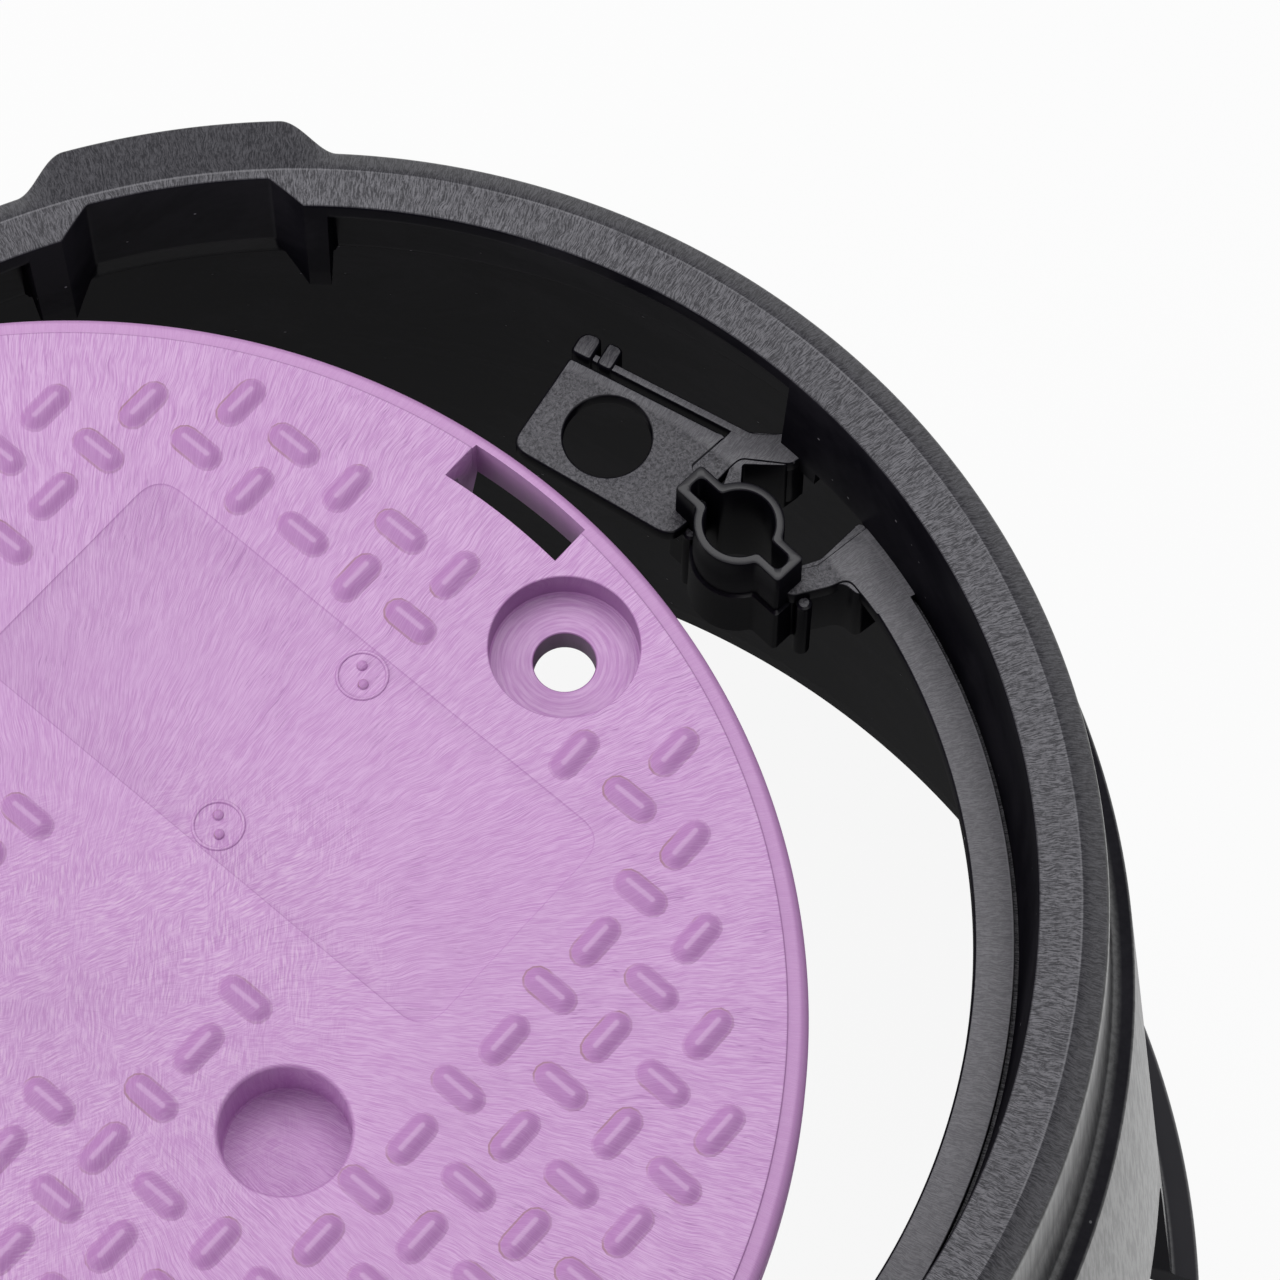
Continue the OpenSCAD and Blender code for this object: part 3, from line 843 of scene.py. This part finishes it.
def ridge(value, centre, width):
    # 1 where the value equals the centre, 0 where it lies further off than the width
    return 1 - between((value - centre).sums("ABSOLUTE"), 0.0, width)


def sway(place, scale, reach):
    # shifts a place by a noise vector of about that reach, so that straight fibres bend
    drift = Wire(noise(place, scale, 2.0, 0.5).socket.node.outputs["Color"])
    drift = vectorSum("SUBTRACT", drift, (0.5, 0.5, 0.5))
    drift = Wire.node("ShaderNodeVectorMath", {"operation": "SCALE"}, {0: drift, "Scale": reach})
    return vectorSum("ADD", place, drift)


def feltLayer(place, degrees):
    # straight fibres in one direction: narrow across it, long along it
    c, s = math.cos(math.radians(degrees)), math.sin(math.radians(degrees))
    x, y, z = splitVector(place)
    return noise(joinVector((x * c + y * s) * 320.0, (y * c - x * s) * 3300.0, 0.0), 1.0, 2.0, 0.7)


# the cover's plastic: linear colours, and fibre scales across and along the fibres
purple = {
    "plain": (0.515, 0.262, 0.540, 1),
    "light": (0.680, 0.440, 0.700, 1),
    "cream": (0.74, 0.58, 0.70, 1),
    "hair": (0.30, 0.115, 0.33, 1),
    "bar": (0.440, 0.205, 0.460, 1),
    # painted highlight along the bars' ridges
    "ridge": (0.66, 0.44, 0.675, 1),
    "band": (0.59, 0.330, 0.605, 1),
    # painted shade: a dark colour for the band's step and outer edge, and for the bolt hole
    "line": (0.17, 0.065, 0.18, 1),
    "shade": (0.40, 0.175, 0.42, 1),
    # painted shade for the counterbore's walls
    "boreShade": (0.21, 0.085, 0.225, 1),
    "dirt": (0.30, 0.17, 0.13, 1),
    "outerFibres": (720.0, 210.0),
    "innerFibres": (310.0, 220.0),
    "hairFibres": (150.0, 48.0),
    "feltDegrees": (15.0, 80.0),
    "fibreSway": 0.0034,
    "fibreRelief": 0.00012,
    "roughness": 0.50,
    "specular": 0.32,
}


def purplePlastic():
    material = startMaterial("purplePlastic")
    coord = Wire.node("ShaderNodeTexCoord", {}, {}, "Object")
    facing = Wire.node("ShaderNodeTexCoord", {}, {}, "Normal")
    place = vectorSum("SUBTRACT", coord, (coverX * mm, coverY * mm, rimZ * mm))
    nx, ny, nz = splitVector(facing)
    # fibres run outwards and bend a little; in the middle they lie in two directions, patch by patch
    swayed = sway(place, 85.0, purple["fibreSway"])
    away = axisDistance(swayed)[1]
    far = noise(polarPlace(swayed, purple["outerFibres"]), 1.0, 2.0, 0.75)
    near = noise(polarPlace(swayed, purple["innerFibres"]), 1.0, 2.0, 0.75)
    outside = between(away, 0.048, 0.072)
    fibre = far * outside + near * (1 - outside)
    mottle = noise(place, 105.0, 2.0, 0.55)
    patchy = noise(place, 24.0, 3.0, 0.55)
    felt, crossFelt = (feltLayer(swayed, degrees) for degrees in purple["feltDegrees"])
    felt = felt + between(mottle, 0.42, 0.58) * (crossFelt - felt)
    inMiddle = (1 - between(away + (patchy - 0.5) * 0.10, 0.034, 0.066)) * 0.7
    strands = between(fibre * (1 - inMiddle) + felt * inMiddle, 0.39, 0.61)
    hairs = ridge(noise(polarPlace(swayed, purple["hairFibres"]), 1.0, 1.0, 0.6), 0.5, 0.020)
    hairs = hairs * between(mottle, 0.48, 0.62)
    # masks by height above the plate, facing and distance from the cover's axis
    x, y, z = splitVector(place)
    above = (z - coverTop * mm) * 1000.0
    flatAway = axisDistance(place)[1]
    level = between(nz, 0.80, 0.97)
    raised = between(above, 0.16, 0.34)
    foot = between(above, 0.008, 0.03) * (1 - between(above, 0.14, 0.24))
    crestHighlight = between(above, 1.42, 1.50)
    band = between(flatAway, 0.1209, 0.1211)
    # painted shade along the step at the band's inner edge and along the cover's outer edge
    bandShadeLines = ridge(flatAway, 0.12098, 0.00026) + between(flatAway, 0.1238, 0.1243) * 0.6
    c, s = math.cos(math.radians(cover["turn"])), math.sin(math.radians(cover["turn"]))
    bx, by = x - (boltX * c - boltY * s) * mm, y - (boltX * s + boltY * c) * mm
    boltAway = (bx * bx + by * by).sums("SQRT")
    inBore = (1 - between(boltAway, 0.0126, 0.0132)) * (1 - between(above, -4.0, -3.0))
    # painted shade: the counterbore's steep walls
    boreWallShade = (1 - between(nz, 0.3, 0.8)) * (1 - between(boltAway, 0.0132, 0.0136))
    boreWallShade = boreWallShade * (1 - between(above, -0.5, -0.1))
    # painted shade: the bolt hole's wall is painted nearly black
    holeShade = (1 - between(boltAway, 0.0054, 0.0056)) * (1 - between(above, -7.1, -6.8))
    circles = noise(joinVector(boltAway * 2400.0, bx * 160.0, by * 160.0), 1.0, 2.0, 0.6)
    strands = strands + inBore * (between(circles, 0.30, 0.70) - strands)
    # colour
    colour = mixColour(strands, purple["plain"], purple["light"])
    colour = mixColour(inMiddle * between(felt, 0.52, 0.70) * 0.55, colour, purple["cream"])
    colour = mixColour(hairs * 0.55 * level, colour, purple["hair"])
    colour = mixColour(between(patchy, 0.42, 0.66) * 0.14, colour, purple["plain"])
    colour = mixColour(band * 0.75, colour, purple["band"])
    # painted shade: dark lines at the band's step and outer edge
    colour = mixColour(bandShadeLines * 0.5 * between(above, -8.0, -7.0), colour, purple["line"])
    colour = mixColour((1 - level) * 0.5 * (1 - raised), colour, purple["shade"])
    # painted shade on the counterbore's walls
    colour = mixColour(boreWallShade * 0.55, colour, purple["boreShade"])
    # painted shade inside the bolt hole
    colour = mixColour(holeShade * 0.9, colour, purple["line"])
    colour = mixColour(raised * (0.94 - strands * 0.24), colour, purple["bar"])
    # painted highlight: a lighter line along the top of each bar's ridge
    colour = mixColour(crestHighlight * 0.4, colour, purple["ridge"])
    upperLeft = between(ny * 0.7 - nx * 0.7, -0.22, 0.22)
    grime = foot * (0.04 + between(mottle, 0.46, 0.60) * (0.1 + upperLeft * 0.45))
    colour = mixColour(grime, colour, purple["dirt"])
    roughness = purple["roughness"] + strands * 0.10 + grime * 0.1 - raised * 0.1
    relief = bump(fibre * (1 - raised), 0.5, purple["fibreRelief"])
    finishMaterial(colour, roughness, relief, {"Specular IOR Level": purple["specular"], "IOR": 1.49})
    return material


# the box's plastic: the walls stay dark, and the upper faces are painted a lighter grey as painted light,
# over a real radial grain
black = {
    "wall": (0.0080, 0.0074, 0.0112, 1),
    "wallLight": (0.0260, 0.0248, 0.0310, 1),
    "outside": (0.018, 0.018, 0.020, 1),
    "outsideLight": (0.038, 0.038, 0.041, 1),
    "flange": (0.050, 0.049, 0.054, 1),
    # painted light: the upward faces' greys, darker and lighter by the grain
    "litTopGrainDark": (0.034, 0.0330, 0.0390, 1),
    "litTopGrainLight": (0.180, 0.176, 0.193, 1),
    # painted light: the slope's grey, less lit than the tops and more than the walls; also used for
    # darker smears on the tops
    "slope": (0.027, 0.0263, 0.0310, 1),
    # a light grey for wear along the fold, and for the painted light on the ledge and its edge
    "wearAndHighlight": (0.26, 0.256, 0.272, 1),
    "dust": (0.42, 0.42, 0.44, 1),
    "strokes": (640.0, 560.0),
    "crackle": 1900.0,
    "smear": 24.0,
    "dustSpots": 190.0,
    "strokeRelief": 0.00045,
    "roughness": 0.40,
    "coatRoughness": 0.28,
}


def blackPlastic():
    material = startMaterial("blackPlastic")
    place = Wire.node("ShaderNodeTexCoord", {}, {}, "Object")
    facing = Wire.node("ShaderNodeTexCoord", {}, {}, "Normal")
    nx, ny, nz = splitVector(facing)
    x, y, z = splitVector(place)
    away = axisDistance(place)[1]
    outward = (nx * x + ny * y) / away
    # flat tops, the slope outside the fold, the walls that face outwards, the flange and the dark socket
    high = between(z, 0.1950, 0.1960)
    socket = between(z, 0.2185, 0.2190) * (1 - between(away, 0.1165, 0.1175))
    top = between(nz, 0.93, 0.985) * high * (1 - socket)
    slope = between(nz, 0.70, 0.82) * (1 - top) * between(z, 0.2330, 0.2350)
    outside = between(outward, 0.35, 0.7) * between(away, 0.134, 0.136)
    flange = 1 - between(z, 0.0065, 0.0090)
    fitting = (1 - between(away, 0.1165, 0.1175)) * high * (1 - top) * between(nz, 0.1, 0.5)
    # grain: short strokes that run outwards, and a crackle on the bracket
    bent = sway(place, 260.0, 0.0016)
    grain = noise(polarPlace(bent, black["strokes"]), 1.0, 2.0, 0.75)
    crackle = noise(bent, black["crackle"], 3.0, 0.7, 0.8)
    onRim = between(away, 0.115, 0.1165)
    dull = crackle * 0.5 + 0.255
    strokes = between(dull + onRim * (grain * 0.75 + crackle * 0.25 - dull), 0.39, 0.62)
    smear = noise(place, black["smear"], 5.0, 0.62, 0.6)
    streak = noise(joinVector(x * 900.0, y * 900.0, z * 9.0), 1.0, 3.0, 0.7)
    streaks = between(streak, 0.38, 0.62)
    # colour
    colour = mixColour(between(smear, 0.42, 0.66) * 0.8, black["wall"], black["wallLight"])
    outer = mixColour(streaks, black["outside"], black["outsideLight"])
    colour = mixColour(outside, colour, outer)
    colour = mixColour(flange * 0.8, colour, black["flange"])
    # painted light: upward faces take a lighter grey than the walls, varied by the grain strokes
    litTopGrainDark = mixColour(strokes, black["litTopGrainDark"], black["litTopGrainLight"])
    litTopGrainDark = mixColour(between(smear, 0.45, 0.7) * 0.25, litTopGrainDark, black["slope"])
    # painted light: the ledge, which lies in the rim's shade, is painted brighter than the other tops
    ledgeLevel = between(z, 0.2160, 0.2164) * (1 - between(z, 0.2172, 0.2176))
    ledgeLitColour = mixColour(strokes, black["litTopGrainLight"], black["wearAndHighlight"])
    litTopGrainDark = mixColour(ledgeLevel * onRim * 0.8, litTopGrainDark, ledgeLitColour)
    colour = mixColour(top, colour, litTopGrainDark)
    # painted light: the slope outside the fold is painted a little less lit than the tops
    litSlopeColour = mixColour(strokes * 0.45, black["slope"], black["litTopGrainLight"])
    colour = mixColour(slope * 0.9, colour, litSlopeColour)
    # a worn light line along the fold, and a painted highlight along the ledge's edge by the seat wall
    onFold = ridge(away, 0.1338, 0.00030) * between(z, 0.2390, 0.2396)
    ledgeEdgeHighlight = ridge(away, 0.1237, 0.00030) * ledgeLevel
    foldWearLedgeHighlight = (onFold * 0.7 + ledgeEdgeHighlight) * (0.25 + 0.75 * between(smear, 0.40, 0.60))
    colour = mixColour(foldWearLedgeHighlight * 0.7, colour, black["wearAndHighlight"])
    specks = Wire.node("ShaderNodeTexVoronoi", {"feature": "F1"},
                       {"Vector": place, "Scale": black["dustSpots"], "Randomness": 1.0}, "Distance")
    dust = (1 - between(specks, 0.035, 0.065)) * (1 - top) * (1 - slope) * (1 - outside)
    colour = mixColour(dust * between(smear, 0.44, 0.60) * 0.8, colour, black["dust"])
    roughness = black["roughness"] + (top + slope) * 0.16 + between(smear, 0.35, 0.7) * 0.06
    roughness = roughness - outside * (0.05 + streaks * 0.06)
    relief = bump(grain, (top + slope * 0.6 + fitting * 0.4) * 0.4, black["strokeRelief"])
    coat = outside * (0.80 + streaks * 0.20) + (top + slope) * 0.12 + fitting * 0.45 + 0.05
    finishMaterial(colour, roughness, relief, {
        "Specular IOR Level": 0.0,
        "IOR": 1.5,
        "Coat Weight": coat,
        "Coat Roughness": black["coatRoughness"],
        "Coat IOR": 1.55,
    })
    return material


# stage, lights and camera
studioSet = {
    "floorHalf": 4.0,
    "floorGrey": (0.8, 0.8, 0.8, 1),
    "floorWhite": 0.92,
    "air": 0.40,
    "airColour": (0.97, 0.98, 1, 1),
    "overhead": {"place": (0.1, 0.5, 1.6), "aim": (0.02, 0.0, 0.2), "size": (1.4, 0.9), "power": 12.5},
    "leftFill": {"place": (-1.3, -0.3, 1.0), "aim": (0.0, 0.0, 0.2), "size": (0.9, 0.9), "power": 6.5},
}


def seenDirectly():
    # 1 for what the camera, a reflection or glass sees, 0 for the light that falls on the object
    paths = Wire.node("ShaderNodeLightPath").socket.node.outputs
    names = ("Is Camera Ray", "Is Glossy Ray", "Is Transmission Ray")
    camera, glossy, glass = (Wire(paths[name]) for name in names)
    return (camera + glossy + glass).sums("MINIMUM", 1.0)


def stageFloor():
    # a plain square, white to the camera and grey to the light
    mesh = bpy.data.meshes.new("floor")
    half = studioSet["floorHalf"]
    corners = [(-half, -half, 0), (half, -half, 0), (half, half, 0), (-half, half, 0)]
    mesh.from_pydata(corners, [], [(0, 1, 2, 3)])
    floor = bpy.data.objects.new("floor", mesh)
    bpy.context.scene.collection.objects.link(floor)
    material = startMaterial("floorWhite")
    dull = Wire.node("ShaderNodeBsdfDiffuse", {}, {"Color": studioSet["floorGrey"]})
    bright = Wire.node("ShaderNodeEmission", {}, {"Color": (1, 1, 1, 1), "Strength": 1.0})
    share = seenDirectly() * studioSet["floorWhite"]  # the rest of it keeps the object's shadow
    finishTree(Wire.node("ShaderNodeMixShader", {}, {0: share, 1: dull, 2: bright}), "Material")
    mesh.materials.append(material)
    return floor


def softLight(name):
    # a square lamp that the camera doesn't see, turned towards its aim
    settings = studioSet[name]
    place, aim = Vector(settings["place"]), Vector(settings["aim"])
    data = bpy.data.lights.new(name, "AREA")
    data.shape = "RECTANGLE"
    data.size, data.size_y = settings["size"]
    data.energy = settings["power"]
    light = bpy.data.objects.new(name, data)
    light.location = place
    light.rotation_mode = "QUATERNION"
    light.rotation_quaternion = (aim - place).to_track_quat("-Z", "Y")
    light.visible_camera = False
    bpy.context.scene.collection.objects.link(light)


def studio():
    # soft light from all round, and two lamps
    world = bpy.data.worlds.new("studio")
    world.use_nodes = True
    bpy.context.scene.world = world
    Wire.tree = world.node_tree
    Wire.tree.nodes.clear()
    airInputs = {"Color": studioSet["airColour"], "Strength": studioSet["air"]}
    air = Wire.node("ShaderNodeBackground", {}, airInputs)
    white = Wire.node("ShaderNodeBackground", {}, {"Color": (1, 1, 1, 1), "Strength": 1.0})
    finishTree(Wire.node("ShaderNodeMixShader", {}, {0: seenDirectly(), 1: air, 2: white}), "World")
    softLight("overhead")
    softLight("leftFill")
    bpy.context.scene.view_settings.view_transform = "Standard"


# the camera that the photograph's concentric circles give
cameraAxes = {
    "place": (0.0, -0.3579, 1.1821),
    "right": (0.988365, -0.151997, 0.005629),
    "down": (-0.137873, -0.910929, -0.388843),
    "ahead": (0.064231, 0.383542, -0.921287),
    "lens": 168.75,
}


def photoCamera():
    # Blender's camera looks along its own -Z, with +Y up
    data = bpy.data.cameras.new("camera")
    data.sensor_width = 36.0
    data.lens = cameraAxes["lens"]
    data.clip_start, data.clip_end = 0.05, 50.0
    camera = bpy.data.objects.new("camera", data)
    right, down, ahead = (np.array(cameraAxes[name]) for name in ("right", "down", "ahead"))
    turn = Matrix(np.column_stack([right, -down, -ahead]).tolist()).to_4x4()
    camera.matrix_world = Matrix.Translation(Vector(cameraAxes["place"])) @ turn
    bpy.context.scene.collection.objects.link(camera)
    bpy.context.scene.camera = camera


print("making the box")
boxPieces = buildBox()
print("making the cover")
coverPieces = buildCover()
print("making the materials")
blackFinish, purpleFinish = blackPlastic(), purplePlastic()
for piece in boxPieces:
    smoothPiece(piece, 32)
    piece.data.materials.clear()
    piece.data.materials.append(blackFinish)
    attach(piece, "root")
    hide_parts("box_body")
for piece in coverPieces:
    smoothPiece(piece, 38)
    piece.data.materials.clear()
    piece.data.materials.append(purpleFinish)
    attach(piece, "root")
    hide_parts("cover")
print("setting the stage")
stageFloor()
studio()
photoCamera()
